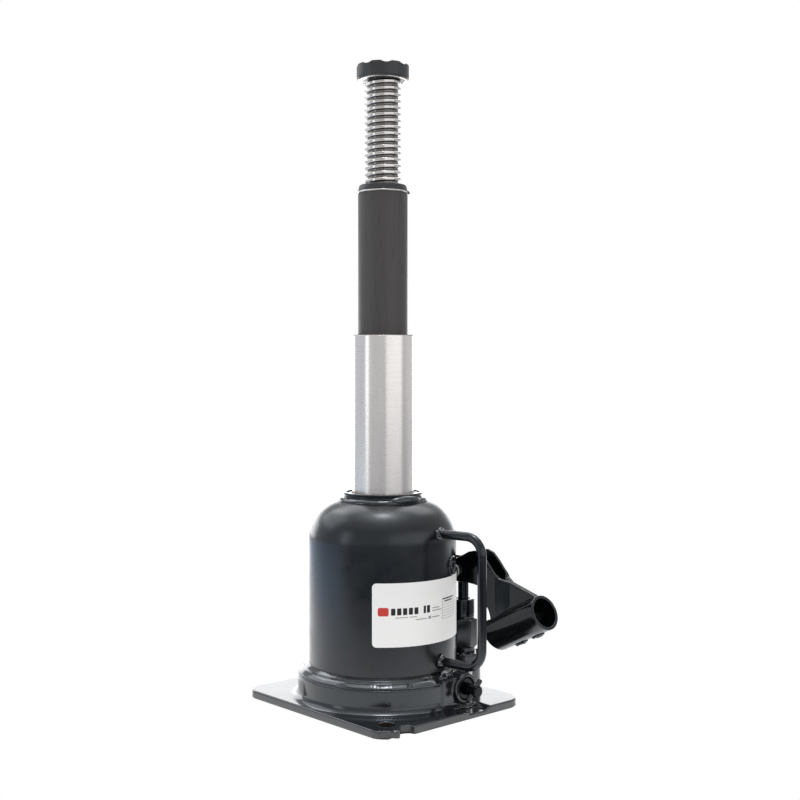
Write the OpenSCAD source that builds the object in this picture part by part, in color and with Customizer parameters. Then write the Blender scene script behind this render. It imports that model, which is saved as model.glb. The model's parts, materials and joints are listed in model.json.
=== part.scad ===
// Two-stage bottle jack with an extension screw, shown fully raised.
// Origin: on the ground under the ram axis. +Z up, +X the way the lever and the release valve point.

/* [Base] */
// Length of the base plate along X
plate_l = 167; // [160:1:176]
// Width of the base plate along Y
plate_w = 144; // [138:1:150]
// Thickness of the base plate
plate_t = 6; // [5:0.5:7]
// Corner chamfer of the base plate
plate_chamfer = 10; // [6:1:12]
// Radius of the round boss that carries the shell
boss_r = 65.7; // [64:0.1:67]
// Diameter of the corner hole and of the half-round edge notch
corner_hole_d = 13.5; // [10:0.5:14]

/* [Reservoir] */
// Outer radius of the reservoir shell
shell_r = 57; // [56:0.5:58]
// Wall of the reservoir shell
shell_wall = 3; // [2.5:0.5:3.5]
// Radius of the rounded shoulder
shoulder_r = 30; // [28:1:31]
// Height at which the shoulder starts
shoulder_z = 126.5; // [124:0.5:128]
// Height of the neck ring's top
neck_top_z = 162.3; // [161:0.1:164]

/* [Rams] */
// Outer radius of the first ram
ram1_r = 24; // [23.5:0.25:24]
// Height of the first ram's top, raised
ram1_top = 283.8; // [280:0.1:286]
// Outer radius of the second ram
ram2_r = 19.25; // [18.5:0.25:19.25]
// Height of the second ram's top, raised
ram2_top = 400; // [398:0.5:402]

/* [Extension screw] */
// Outside radius of the trapezoidal thread
screw_r = 14; // [13.5:0.25:14]
// Pitch of the thread
screw_pitch = 5; // [4:1:6]
// Height of the saddle's underside, screwed out
saddle_z = 481; // [475:1:485]
// Radius of the saddle
saddle_r = 20.35; // [19:0.05:22]
// Height of the saddle
saddle_h = 12; // [10:1:14]

/* [Carry handle] */
// Radius of the handle rod
rod_r = 3.4; // [3:0.1:4]
// Distance of the grip from the ram axis
grip_rho = 95; // [90:1:98]
// Height of the lower arm
arm_low_z = 38.5; // [36:0.5:42]
// Height of the upper arm
arm_high_z = 134; // [130:0.5:136]
// Bend radius of the rod's centre line
bend_r = 13.5; // [10:0.5:16]
// Direction of the handle about the ram axis
handle_angle = 8; // [4:1:12]

/* [Pump and lever] */
// X of the pump axis
pump_x = 21.4; // [21:0.1:22]
// Y of the pump axis and of the lever's middle plane
pump_y = 67; // [66.8:0.1:68]
// Radius of the pump plunger
plunger_r = 4.35; // [4:0.05:4.5]
// Radius of the handle socket's bore
socket_bore_r = 11; // [10.5:0.1:11.2]
// Sheet thickness of the lever halves
sheet = 2.4; // [2:0.1:2.6]
// Slope of the handle socket above level
socket_slope = 25.8; // [25:0.1:27]
// Length of the handle socket
socket_l = 57; // [52:1:58]

/* [Release valve] */
// Y of the valve axis
valve_y = 21.5; // [21:0.5:22]
// Height of the valve axis
valve_z = 18.5; // [18:0.1:18.8]
// Radius of the valve boss
valve_boss_r = 11.4; // [11:0.1:12]
// Tilt of the T-pin from level
t_pin_tilt = 45; // [0:5:90]

/* [Label] */
// Height of the label's lower edge
label_z = 53.5; // [50:0.5:56]
// Height of the label
label_h = 47; // [44:1:50]

/* [Hidden] */
$fn = 96;

fit = 0.05;                 // running clearance on a radius
touch = 0.02;               // gap between pieces that sit on each other
stop_gap = 0.3;             // gap left at a travel stop
e = 1;                      // overrun of a cutting tool

floor_z = 17;               // tank floor, inside the boss
seat_z = 24;                // ring face that carries the shell
weld_top_z = 30;            // where the base weld meets the shell
fillet_r = 6;               // fillet between boss and plate
ring_r = 31;                // outer radius of the neck ring
gland_r = 28.5;             // thread radius of the gland nut
cyl_bore_r = ram1_r + 2;    // bore of the pressure cylinder
cyl_wall = 6;
cyl_top = 145;
gasket_t = 1;
nut_z = cyl_top + gasket_t; // underside of the gland nut
piston_h = 12;
ram1_bore_r = ram1_r - 3;
ram1_base = nut_z - stop_gap - piston_h;
guide_z = 270;              // underside of the guide ring
ram2_base = guide_z - stop_gap - piston_h;
screw_core_z = 376.5;       // lower end of the thread in the second ram
thread_root_r = screw_r - 2.75;
flute_r = 8;                // flutes across the saddle's rim
flute_depth = 1.3;

shell_bottom = seat_z + touch;
neck_z = shoulder_z + sqrt(shoulder_r * shoulder_r - pow(ring_r + 2 - shell_r + shoulder_r, 2));

pump_rho = norm([pump_x, pump_y]);
pump_dir = atan2(pump_y, pump_x);
pump_boss_r = 13.8;
pump_boss_z = 31.5;
hex_r = 11.3;               // corner radius of the pump's hexagon
hex_top_z = 58.5;
chamber_z = 13;             // bottom of the pump chamber
delivery_rho = 44;
seat_plane_z = 12.2;        // seat of the delivery ball
strainer_at = [-7.6, 43.3];
recess_z = 3.6;             // floor of the thumb recess under the T-pin
valve_rod_r = 4.4;

pivot = [-1, 97];           // lever pivot, as [x, z]
pivot_pin_r = 5;
plunger_pin_r = 3;
gap_half = 5.6;             // half of the fork's inner width
cheek = gap_half + sheet;   // half of the fork's outer width
seam = 0.2;                 // half of the gap between the two lever halves
socket_r = socket_bore_r + sheet;
socket_end = [56.3, 50];    // lower end of the socket's axis, as [x, z]
socket_end_tilt = 8.5;      // slant of the socket's lower end

filler_angle = 25.7;
filler_z = 108.3;
snap_angle = 42;            // where the snap ring's gap is
snap_z = 393.7;

// A ring of rectangular section.
module ring(r_in, r_out, z0, z1) {
    translate([0, 0, z0]) difference() {
        cylinder(r = r_out, h = z1 - z0);
        translate([0, 0, -e]) cylinder(r = r_in, h = z1 - z0 + 2 * e);
    }
}

// A cylinder along X from x0 to x1.
module rod_x(r, x0, x1) {
    translate([x0, 0, 0]) rotate([0, 90, 0]) cylinder(r = r, h = x1 - x0);
}

// A cylinder along Y from y0 to y1.
module rod_y(r, y0, y1) {
    translate([0, y1, 0]) rotate([90, 0, 0]) cylinder(r = r, h = y1 - y0);
}

// A level drilling from one plan point to another.
module drilling(from, to, z, r) {
    run = to - from;
    translate([from[0], from[1], z]) rotate([0, 90, atan2(run[1], run[0])])
        cylinder(r = r, h = norm(run));
}

module at_pump() { translate([pump_x, pump_y, 0]) children(); }
module at_valve() { translate([0, valve_y, valve_z]) children(); }
module at_handle() { rotate([0, 0, handle_angle]) children(); }

// Extrudes a side view, drawn as x and z, between two distances from the lever's middle plane.
module side_plate(t0, t1) {
    translate([0, -t0, 0]) rotate([90, 0, 0]) linear_extrude(t1 - t0) children();
}

// ---- base ----

module plate_outline() {
    lx = plate_l / 2;
    wy = plate_w / 2;
    c = plate_chamfer;
    translate([-0.5, 0]) polygon([
        [lx - c, -wy], [lx, c - wy], [lx, wy - c], [lx - c, wy],
        [c - lx, wy], [-lx, wy - c], [-lx, c - wy], [c - lx, -wy]
    ]);
}

module boss_fillet() {
    rotate_extrude() difference() {
        translate([boss_r - e, plate_t - e]) square([fillet_r + e, fillet_r + e]);
        translate([boss_r + fillet_r, plate_t + fillet_r]) circle(r = fillet_r);
    }
}

module valve_block() {
    intersection() {
        translate([48, 0, plate_t - e]) cube([19, 42, 22]);
        cylinder(r = 70, h = 40);
    }
    at_valve() rod_x(valve_boss_r, 45, 70.5);
}

module oil_passages() {
    pump_at = [pump_x, pump_y];
    pocket_at = delivery_rho * [cos(pump_dir), sin(pump_dir)];
    // from the pocket and from the release seat to the port under the ram
    drilling(pocket_at, [0, 0], 8.5, 1.5);
    drilling([38, valve_y], [0, 0], 8.5, 1.5);
    translate([0, 0, 7]) cylinder(r = 2, h = floor_z);
    translate([38, valve_y, 7]) cylinder(r = 1.4, h = valve_z - 7);
    // delivery pocket, closed by its plug from below
    translate([pocket_at[0], pocket_at[1], -e]) cylinder(r = 5, h = seat_plane_z + e);
    translate([pocket_at[0], pocket_at[1], 0]) cylinder(r = 2, h = 15.3);
    drilling(pump_at, pocket_at, 14.5, 1.2);
    // suction, from the strainer to under the pump
    drilling(strainer_at, pump_at, 6.5, 1.7);
    translate([strainer_at[0], strainer_at[1], 6.5]) cylinder(r = 1.7, h = 20);
    at_pump() translate([0, 0, 6.5]) cylinder(r = 2, h = 10);
}

module base() {
    color([0.15, 0.16, 0.18])
    difference() {
        union() {
            linear_extrude(plate_t) plate_outline();
            cylinder(r = boss_r, h = seat_z);
            boss_fillet();
            valve_block();
            at_pump() cylinder(r = pump_boss_r, h = pump_boss_z);
        }
        // tank floor and the seat of the pressure cylinder
        difference() {
            translate([0, 0, floor_z]) cylinder(r = 50, h = 40);
            difference() {
                translate([34.5, valve_y - 8, 0]) cube([18, 16, 27]);
                cylinder(r = cyl_bore_r + cyl_wall + 1, h = 40);
            }
        }
        // room for the shell's foot
        ring(shell_r - shell_wall - 0.4, shell_r + 0.3, seat_z, 60);
        translate([0, 0, 27]) cylinder(r = shell_r, h = 40);
        oil_passages();
        // pump chamber and thread
        at_pump() translate([0, 0, chamber_z]) cylinder(r = 4.2, h = 30);
        at_pump() translate([0, 0, 22]) cylinder(r = 8, h = 30);
        // release valve
        at_valve() {
            rod_x(1.4, 37.5, 41);
            rod_x(3.1, 40, 47);
            rod_x(4.2, 46, 60);
            rod_x(6 + fit, 58.3, 68);
            rod_x(8.5, 67, 72);
        }
        translate([44, valve_y, valve_z]) cylinder(r = 1.4, h = 20);
        // recess under the T-pin
        translate([67.5, valve_y, 0]) rotate([90, 0, 90]) linear_extrude(30)
            polygon([[-9.5, recess_z], [6.7, recess_z], [13.5, plate_t + 0.1], [-16.5, plate_t + 0.1]]);
        // corner hole and edge notch
        translate([66, -55, -e]) cylinder(d = corner_hole_d, h = plate_t + 2 * e);
        translate([plate_l / 2 - 0.5, -50, -e]) cylinder(d = corner_hole_d, h = plate_t + 2 * e);
    }
}

module base_weld() {
    color([0.2, 0.21, 0.23])
    difference() {
        rotate_extrude() intersection() {
            translate([53, 16]) circle(r = norm([shell_r - 53, weld_top_z - 16]));
            translate([shell_r + 0.06, seat_z + touch]) square([8, 8]);
        }
        translate([40, -touch, 0]) cube([40, 42 + 2 * touch, 27 + touch]);
        at_valve() rod_x(valve_boss_r + touch, 40, 72);
        at_pump() cylinder(r = pump_boss_r + touch, h = 40);
    }
}

module delivery_plug() {
    color([0.45, 0.45, 0.47])
    rotate([0, 0, pump_dir]) translate([delivery_rho, 0, 0]) difference() {
        translate([0, 0, 0.5]) cylinder(r = 5 - touch, h = 3.5);
        translate([0, 0, 0]) cylinder(r = 2.3, h = 2.5, $fn = 6);
    }
}

module delivery_spring() {
    color([0.6, 0.6, 0.62])
    rotate([0, 0, pump_dir]) translate([delivery_rho, 0, 0])
        ring(1.9, 2.6, 4 + touch, 7.9);
}

module delivery_ball() {
    color([0.75, 0.75, 0.77])
    rotate([0, 0, pump_dir]) translate([delivery_rho, 0, 10.2]) sphere(r = 2.75);
}

module suction_ball() {
    color([0.75, 0.75, 0.77])
    at_pump() translate([0, 0, chamber_z + 2.35]) sphere(r = 3);
}

module suction_strainer() {
    color([0.7, 0.6, 0.35])
    translate([strainer_at[0], strainer_at[1], 0]) {
        difference() {
            translate([0, 0, floor_z + touch]) cylinder(r = 5, h = 6);
            translate([0, 0, floor_z - e]) cylinder(r = 4.2, h = 6.2);
        }
    }
}

// ---- reservoir ----

// Half section of the reservoir's outside, grown or shrunk by a step.
module shell_section(step) {
    r = shell_r + step;
    arc = shoulder_r + step;
    translate([0, shell_bottom]) square([r, shoulder_z - shell_bottom]);
    intersection() {
        translate([shell_r - shoulder_r, shoulder_z]) circle(r = arc);
        translate([shell_r - shoulder_r, shoulder_z]) square(arc + e);
    }
    translate([0, shoulder_z - e]) square([shell_r - shoulder_r, arc + e]);
}

module shell_solid(step) { rotate_extrude() shell_section(step); }

module reservoir_shell() {
    color([0.2, 0.21, 0.23])
    difference() {
        rotate_extrude() difference() {
            shell_section(0);
            shell_section(-shell_wall);
            square([shell_r - shell_wall, shell_bottom + e]);
            square([ring_r + touch, 200]);
        }
        rotate([0, 0, filler_angle]) translate([0, 0, filler_z]) rod_x(5.5, 40, 70);
    }
}

module neck_ring() {
    color([0.17, 0.18, 0.2])
    rotate_extrude() difference() {
        translate([gland_r + touch, nut_z + touch]) square([ring_r - gland_r - touch, neck_top_z - nut_z]);
        translate([ring_r, neck_top_z + touch]) rotate(45) square(1.2, center = true);
    }
}

module neck_weld() {
    color([0.22, 0.23, 0.25])
    difference() {
        union() {
            rotate_extrude() translate([ring_r + 0.8, neck_z - 0.3]) circle(r = 3.2);
            rotate([0, 0, -26]) rotate_extrude(angle = 40) translate([ring_r + 1.3, neck_z + 0.4]) circle(r = 4);
            for (a = [-26, 14])
                rotate([0, 0, a]) translate([ring_r + 1.3, 0, neck_z + 0.4]) sphere(r = 4);
        }
        shell_solid(touch);
        cylinder(r = ring_r + touch, h = 200);
    }
}

module gland_nut() {
    color([0.3, 0.31, 0.33])
    difference() {
        ring(ram1_r + fit, gland_r, nut_z, neck_top_z - 1);
        ring(ram1_r - e, ram1_r + 2, neck_top_z - 4.5, neck_top_z - 2);
        for (a = [-110 : 90 : 160])
            rotate([0, 0, a]) translate([27, 0, neck_top_z - 3.2]) cylinder(r = 1, h = 4);
    }
}

module ram_wiper() {
    color([0.1, 0.1, 0.1])
    ring(ram1_r + fit, ram1_r + 2 - touch, neck_top_z - 4.5 + touch, neck_top_z - 2 - touch);
}

module gland_gasket() {
    color([0.75, 0.45, 0.25])
    ring(cyl_bore_r + 0.2, gland_r - 0.1, cyl_top + touch, nut_z - touch);
}

module pressure_cylinder() {
    color([0.6, 0.6, 0.62])
    ring(cyl_bore_r, cyl_bore_r + cyl_wall, floor_z + gasket_t, cyl_top);
}

module cylinder_gasket() {
    color([0.75, 0.45, 0.25])
    ring(cyl_bore_r + 1, cyl_bore_r + cyl_wall - 0.5, floor_z + touch, floor_z + gasket_t - touch);
}

module label() {
    color([0.95, 0.94, 0.93])
    rotate([0, 0, -49.5]) rotate_extrude(angle = 107)
        translate([shell_r + touch, label_z]) square([0.2, label_h]);
}

module filler_plug() {
    color([0.12, 0.12, 0.13])
    rotate([0, 0, filler_angle]) translate([0, 0, filler_z]) difference() {
        union() {
            rod_x(5.5 - touch, 52, 57.5);
            difference() {
                rod_x(7.5, 55.5, 58.2);
                rotate([0, 0, -filler_angle]) translate([0, 0, -filler_z]) shell_solid(touch);
            }
        }
        rod_x(2.6, 57.2, 61, $fn = 6);
    }
}

module handle_arm(z) {
    translate([0, 0, z]) rod_x(rod_r, 50, grip_rho - bend_r);
}

module carry_handle() {
    color([0.2, 0.21, 0.23])
    difference() {
        at_handle() {
            for (z = [arm_low_z, arm_high_z]) handle_arm(z);
            translate([grip_rho, 0, arm_low_z + bend_r])
                cylinder(r = rod_r, h = arm_high_z - arm_low_z - 2 * bend_r);
            translate([grip_rho - bend_r, 0, arm_low_z + bend_r]) rotate([90, 0, 0])
                rotate([0, 0, -90]) rotate_extrude(angle = 90) translate([bend_r, 0]) circle(r = rod_r);
            translate([grip_rho - bend_r, 0, arm_high_z - bend_r]) rotate([90, 0, 0])
                rotate_extrude(angle = 90) translate([bend_r, 0]) circle(r = rod_r);
        }
        shell_solid(touch);
    }
}

module handle_welds() {
    color([0.22, 0.23, 0.25])
    difference() {
        at_handle() for (z = [arm_low_z, arm_high_z]) translate([0, 0, z]) difference() {
            translate([52, 0, 0]) rotate([0, 90, 0]) cylinder(r1 = 7.6, r2 = 4.4, h = 9.5);
            rod_x(rod_r + touch, 40, 80);
        }
        shell_solid(touch);
    }
}

// ---- pump ----

module pump_cylinder() {
    color([0.2, 0.21, 0.23])
    at_pump() difference() {
        union() {
            translate([0, 0, 22]) cylinder(r = 8 - touch, h = 12);
            translate([0, 0, pump_boss_z + 1.5]) cylinder(r = 9.4, h = 4);
            rotate([0, 0, -14.25]) translate([0, 0, 35.5]) cylinder(r = hex_r, h = hex_top_z - 35.5, $fn = 6);
            translate([0, 0, 55]) cylinder(r = 6.4, h = 13);
        }
        translate([0, 0, 20]) cylinder(r = plunger_r + fit, h = 60);
    }
}

module pump_washer() {
    color([0.72, 0.42, 0.25])
    at_pump() ring(8 + touch, 9.4, pump_boss_z + touch, pump_boss_z + 1.5 - touch);
}

module packing_nut() {
    color([0.2, 0.21, 0.23])
    at_pump() difference() {
        translate([0, 0, hex_top_z + touch]) cylinder(r = 9, h = 73.8 - hex_top_z);
        translate([0, 0, 57]) cylinder(r = 6.4 + touch, h = 14);
        cylinder(r = plunger_r + fit, h = 90);
        translate([0, 0, 73.82]) rotate_extrude() translate([9, 0]) rotate(45) square(1.6, center = true);
    }
}

module plunger_packing() {
    color([0.1, 0.1, 0.1])
    at_pump() ring(plunger_r + fit, 6.4, 68 + touch, 71 - touch);
}

module plunger() {
    color([0.5, 0.5, 0.52])
    difference() {
        union() {
            at_pump() translate([0, 0, 32]) cylinder(r = plunger_r, h = 60);
            translate([pump_x - 9.5, pump_y - 4.2, 90]) cube([17, 8.4, 14]);
        }
        // level slot in which the pin takes up the arc of the lever
        translate([0, pump_y, pivot[1]]) {
            translate([pump_x - 3.2, 0, 0]) rod_y(plunger_pin_r + 0.3, -10, 10);
            translate([pump_x, 0, 0]) rod_y(plunger_pin_r + 0.3, -10, 10);
            translate([pump_x - 3.2, -10, -plunger_pin_r - 0.3])
                cube([3.2, 20, 2 * plunger_pin_r + 0.6]);
        }
    }
}

// ---- lever ----

// Side view of one pressed half: pivot lobe, fork cheek and web, as x and z.
module lever_side() {
    difference() {
        union() {
            translate(pivot) circle(r = 9.5);
            polygon([
                pivot + [-1.5, 9.35], [21.5, 106.7], [29, 110.4], [35, 113.4], [42, 115], [48.5, 113],
                [54, 108], [60, 101.5], [66, 95.6], [98.7, 86.4], [104.4, 80.3], [66, 58], [58.5, 56],
                [58.5, 65], [56.6, 70.4], [53.8, 73.4], [53.2, 80], [49.5, 85.4], [44, 88], [34.6, 88.7],
                pivot + [0.6, -9.45]
            ]);
        }
        translate(pivot) circle(r = pivot_pin_r + touch);
        translate([pump_x, pivot[1]]) circle(r = plunger_pin_r + touch);
    }
}

// Plan view of one half, as x and distance from the middle plane: cheek, joggle, web.
module lever_plan() {
    polygon([
        [-20, gap_half], [62, gap_half], [73, seam], [120, seam],
        [120, seam + sheet], [74.5, seam + sheet], [63.5, cheek], [-20, cheek]
    ]);
}

module at_socket() {
    translate([socket_end[0], 0, socket_end[1]]) rotate([0, 90 - socket_slope, 0]) children();
}

// One half, on the near side of the plane y = 0.
module lever_half() {
    difference() {
        union() {
            intersection() {
                side_plate(0, 20) lever_side();
                translate([0, 0, 30]) linear_extrude(100) mirror([0, 1]) lever_plan();
            }
            intersection() {
                at_socket() cylinder(r = socket_r, h = socket_l);
                translate([0, -30 - seam, 0]) cube([200, 30, 200]);
            }
        }
        at_socket() translate([0, 0, -e]) cylinder(r = socket_bore_r, h = socket_l + 20);
        at_socket() translate([-socket_r, 0, 0]) rotate([0, -socket_end_tilt, 0])
            translate([-5, -20, -20]) cube([40, 40, 20]);
    }
}

module lever_near_half() {
    color([0.2, 0.21, 0.23])
    translate([0, pump_y, 0]) lever_half();
}

module lever_far_half() {
    color([0.17, 0.18, 0.2])
    translate([0, pump_y, 0]) mirror([0, 1, 0]) lever_half();
}

module lever_welds() {
    color([0.22, 0.23, 0.25])
    translate([0, pump_y, 0]) difference() {
        at_socket() for (s = [19, 38])
            translate([socket_r - 0.5, 0, s]) cylinder(r = 2.3, h = 12);
        at_socket() translate([0, 0, -e]) cylinder(r = socket_r + touch, h = socket_l + 20);
    }
}

module pivot_pin() {
    color([0.55, 0.55, 0.57])
    translate([pivot[0], pump_y, pivot[1]]) difference() {
        union() {
            rod_y(pivot_pin_r, -9.4, cheek + 1);
            rod_y(7.5, cheek + touch, cheek + 2.5);
        }
        difference() {
            rod_y(pivot_pin_r + e, -cheek - 1.1, -cheek - touch);
            rod_y(4, -12, 0);
        }
    }
}

module pivot_clip() {
    color([0.4, 0.4, 0.42])
    translate([pivot[0], pump_y, pivot[1]]) difference() {
        rod_y(7.5, -cheek - 1 , -cheek - 2 * touch);
        rod_y(4 + touch, -12, 0);
        translate([-3, -12, -20]) cube([6, 12, 20]);
    }
}

module plunger_pin() {
    color([0.55, 0.55, 0.57])
    translate([pump_x, pump_y, pivot[1]]) difference() {
        union() {
            rod_y(plunger_pin_r, -cheek - 1, cheek + 2.4);
            rod_y(5, -cheek - 2.5, -cheek - touch);
        }
        difference() {
            rod_y(plunger_pin_r + e, cheek + 0.3, cheek + 1.5);
            rod_y(2.2, 0, 20);
        }
    }
}

module plunger_pin_clip() {
    color([0.4, 0.4, 0.42])
    translate([pump_x, pump_y, pivot[1]]) difference() {
        rod_y(5, cheek + 0.4, cheek + 1.4);
        rod_y(2.2 + touch, 0, 20);
        translate([-1.8, 0, -20]) cube([3.6, 20, 20]);
    }
}

module pivot_bracket() {
    color([0.2, 0.21, 0.23])
    difference() {
        union() {
            translate([-30, 50, 85]) cube([15, pump_y + 4.6 - 50, 24]);
            translate([-16, pump_y - 4.6, 88]) cube([15, 9.2, 18]);
            translate([pivot[0], pump_y, pivot[1]]) rod_y(9, -4.6, 4.6);
        }
        shell_solid(touch);
        translate([pivot[0], pump_y, pivot[1]]) rod_y(pivot_pin_r + fit, -20, 20);
    }
}

module bracket_weld() {
    color([0.22, 0.23, 0.25])
    difference() {
        for (z = [85, 109]) translate([-30, 54, z]) rod_x(3, 0, 15);
        shell_solid(touch);
        translate([-31, 40, 85 - touch]) cube([17, 40, 24 + 2 * touch]);
    }
}

// ---- release valve ----

module release_gland_nut() {
    color([0.4, 0.4, 0.42])
    at_valve() difference() {
        rod_x(8.5 - touch, 67.2, 69.2);
        rod_x(valve_rod_r + fit, 60, 80);
        for (a = [20, 110]) rotate([a, 0, 0]) translate([68.4, -9, -1]) cube([2, 18, 2]);
    }
}

module release_ball() {
    color([0.75, 0.75, 0.77])
    at_valve() translate([42.8, 0, 0]) sphere(r = 3);
}

module release_valve() {
    color([0.35, 0.36, 0.38])
    at_valve() difference() {
        union() {
            rod_x(3, 46, 59);
            rod_x(6, 58.5, 64.9);
            rod_x(valve_rod_r, 64, 83);
        }
        ring_x(4.6, 7, 61, 62.8);
        translate([78, 0, 0]) rotate([t_pin_tilt - 90, 0, 0]) cylinder(r = 1.9, h = 20, center = true);
    }
}

// A ring of rectangular section about the valve axis.
module ring_x(r_in, r_out, x0, x1) {
    rotate([0, 90, 0]) ring(r_in, r_out, x0, x1);
}

module release_o_ring() {
    color([0.1, 0.1, 0.1])
    at_valve() ring_x(4.6 + touch, 6, 61 + touch, 62.8 - touch);
}

module release_t_pin() {
    color([0.35, 0.36, 0.38])
    at_valve() translate([78, 0, 0]) rotate([t_pin_tilt - 90, 0, 0])
        cylinder(r = 1.9, h = 19.5, center = true);
}

// ---- rams, screw and saddle ----

// Piston of a ram with the groove for its seal, from z = 0; the groove ends above the rod.
module piston(r, rod) {
    rotate_extrude() difference() {
        square([r, piston_h]);
        translate([rod + 0.2, 3.5]) square([r - rod, 5]);
    }
}

module piston_seal(r, rod, z) {
    color([0.1, 0.1, 0.1])
    ring(rod + 0.2 + touch, r, z + 3.5 + touch, z + 8.5 - touch);
}

module first_ram() {
    color([0.78, 0.77, 0.75])
    difference() {
        union() {
            translate([0, 0, ram1_base]) piston(cyl_bore_r - fit, ram1_r);
            translate([0, 0, ram1_base]) cylinder(r = ram1_r, h = ram1_top - ram1_base - 0.8);
            translate([0, 0, ram1_top - 0.8]) cylinder(r1 = ram1_r, r2 = ram1_r - 0.8, h = 0.8);
        }
        translate([0, 0, ram1_base - e]) cylinder(r = ram1_bore_r, h = ram1_top);
    }
}

module first_ram_seal() { piston_seal(cyl_bore_r - fit, ram1_r, ram1_base); }

module guide_ring() {
    color([0.45, 0.43, 0.4])
    ring(ram2_r + fit, ram1_bore_r - touch, guide_z, ram1_top - 0.6);
}

module second_ram() {
    color([0.33, 0.32, 0.31])
    difference() {
        union() {
            translate([0, 0, ram2_base]) piston(ram1_bore_r - fit, ram2_r);
            translate([0, 0, ram2_base]) cylinder(r = ram2_r, h = ram2_top - 4.5 - ram2_base);
            translate([0, 0, ram2_top - 4.5]) cylinder(r1 = ram2_r, r2 = ram2_r - 1.25, h = 4.5);
        }
        translate([0, 0, 280]) cylinder(r = screw_r + 2, h = screw_core_z - 280);
        translate([0, 0, 300]) cylinder(r = screw_r + fit, h = 200);
        ring(ram2_r - 0.8, ram2_r + e, snap_z, snap_z + 1.2);
    }
}

module second_ram_seal() { piston_seal(ram1_bore_r - fit, ram2_r, ram2_base); }

module snap_ring() {
    color([0.12, 0.12, 0.12])
    rotate([0, 0, snap_angle + 6]) {
        rotate_extrude(angle = 348)
            translate([ram2_r - 0.8 + touch, snap_z + touch]) square([0.95, 1.2 - 2 * touch]);
        for (a = [1, -13])
            rotate([0, 0, a]) translate([ram2_r + 0.9, 0, snap_z + touch]) cylinder(r = 1, h = 1.2 - 2 * touch);
    }
}

module screw_stop_ring() {
    color([0.5, 0.5, 0.52])
    ring(8, screw_r + 1.7, screw_core_z - stop_gap - 5, screw_core_z - stop_gap);
}

// Half section of the thread as stacked trapezoidal rings.
function thread_points(z0, count) = [
    for (i = [0 : count - 1], p = [[0, 0.09], [1, 0.27], [1, 0.64], [0, 0.82]])
        [thread_root_r + p[0] * (screw_r - thread_root_r), z0 + (i + p[1]) * screw_pitch]
];

module extension_screw() {
    z0 = screw_core_z - stop_gap + touch;
    turns = floor((saddle_z - 0.5 - z0) / screw_pitch);
    color([0.75, 0.74, 0.72]) {
        rotate_extrude() polygon(concat(
            [[0, z0], [thread_root_r, z0]], thread_points(z0, turns),
            [[thread_root_r, saddle_z], [9, saddle_z], [9, saddle_z + 6], [0, saddle_z + 6]]
        ));
        translate([0, 0, z0 - 7]) difference() {
            cylinder(r = 8 - fit, h = 8);
            ring(6.5, 9, 0.4, 1.6);
        }
    }
}

module stop_ring_clip() {
    z = screw_core_z - stop_gap + touch - 7 + 0.4;
    color([0.4, 0.4, 0.42])
    difference() {
        ring(6.5 + touch, 10, z + touch, z + 1.2 - touch);
        translate([0, -2.5, z - e]) cube([20, 5, 10]);
    }
}

module saddle() {
    color([0.28, 0.29, 0.3])
    translate([0, 0, saddle_z]) difference() {
        union() {
            cylinder(r1 = saddle_r - 1.7, r2 = saddle_r, h = 1.7);
            translate([0, 0, 1.7]) cylinder(r = saddle_r, h = saddle_h - 1.7);
        }
        translate([0, 0, -e]) cylinder(r = 9 + touch, h = 6 + touch + e);
        translate([0, 0, saddle_h - 2.2]) cylinder(r = 10, h = 4);
        for (a = [-34 : 45 : 300])
            rotate([0, 0, a]) translate([0, 0, saddle_h + flute_r - flute_depth]) rod_x(flute_r, 5, 30);
    }
}

base();
base_weld();
reservoir_shell();
neck_ring();
neck_weld();
gland_nut();
gland_gasket();
ram_wiper();
pressure_cylinder();
cylinder_gasket();
label();
filler_plug();
carry_handle();
handle_welds();
pump_cylinder();
pump_washer();
packing_nut();
plunger_packing();
suction_strainer();
suction_ball();
delivery_ball();
delivery_spring();
delivery_plug();
pivot_bracket();
bracket_weld();
release_gland_nut();
first_ram();
first_ram_seal();
guide_ring();
second_ram();
second_ram_seal();
snap_ring();
screw_stop_ring();
extension_screw();
stop_ring_clip();
saddle();
plunger();
lever_near_half();
lever_far_half();
lever_welds();
pivot_pin();
pivot_clip();
plunger_pin();
plunger_pin_clip();
release_ball();
release_valve();
release_t_pin();
release_o_ring();
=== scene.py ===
"""Looks of the two-stage bottle jack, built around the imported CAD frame.

The frame, camera and lights are in metres, +Z up. Meshes are made in millimetres, and piece() scales them.
"Angle" about the ram axis is in degrees from +X; a "bearing" is measured from the direction to the camera.
"""
import json
import math
import random

import bmesh
import bpy
from mathutils import Matrix, Vector, noise


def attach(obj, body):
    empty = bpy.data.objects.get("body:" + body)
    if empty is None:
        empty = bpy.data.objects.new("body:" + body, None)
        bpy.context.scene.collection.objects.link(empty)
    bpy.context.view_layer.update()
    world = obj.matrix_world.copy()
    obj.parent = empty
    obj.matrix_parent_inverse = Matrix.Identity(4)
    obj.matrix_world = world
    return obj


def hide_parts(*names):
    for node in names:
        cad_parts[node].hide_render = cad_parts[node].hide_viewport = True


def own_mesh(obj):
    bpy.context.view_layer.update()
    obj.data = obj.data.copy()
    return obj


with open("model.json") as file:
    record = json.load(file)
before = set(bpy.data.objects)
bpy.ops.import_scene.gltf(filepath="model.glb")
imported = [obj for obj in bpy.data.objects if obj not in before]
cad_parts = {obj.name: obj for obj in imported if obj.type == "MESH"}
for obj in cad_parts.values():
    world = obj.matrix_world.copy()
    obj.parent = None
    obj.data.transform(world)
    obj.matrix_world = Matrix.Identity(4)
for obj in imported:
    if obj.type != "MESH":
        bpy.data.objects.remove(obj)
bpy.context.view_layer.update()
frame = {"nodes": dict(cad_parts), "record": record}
MM = 0.001
TAU = 2 * math.pi

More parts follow.
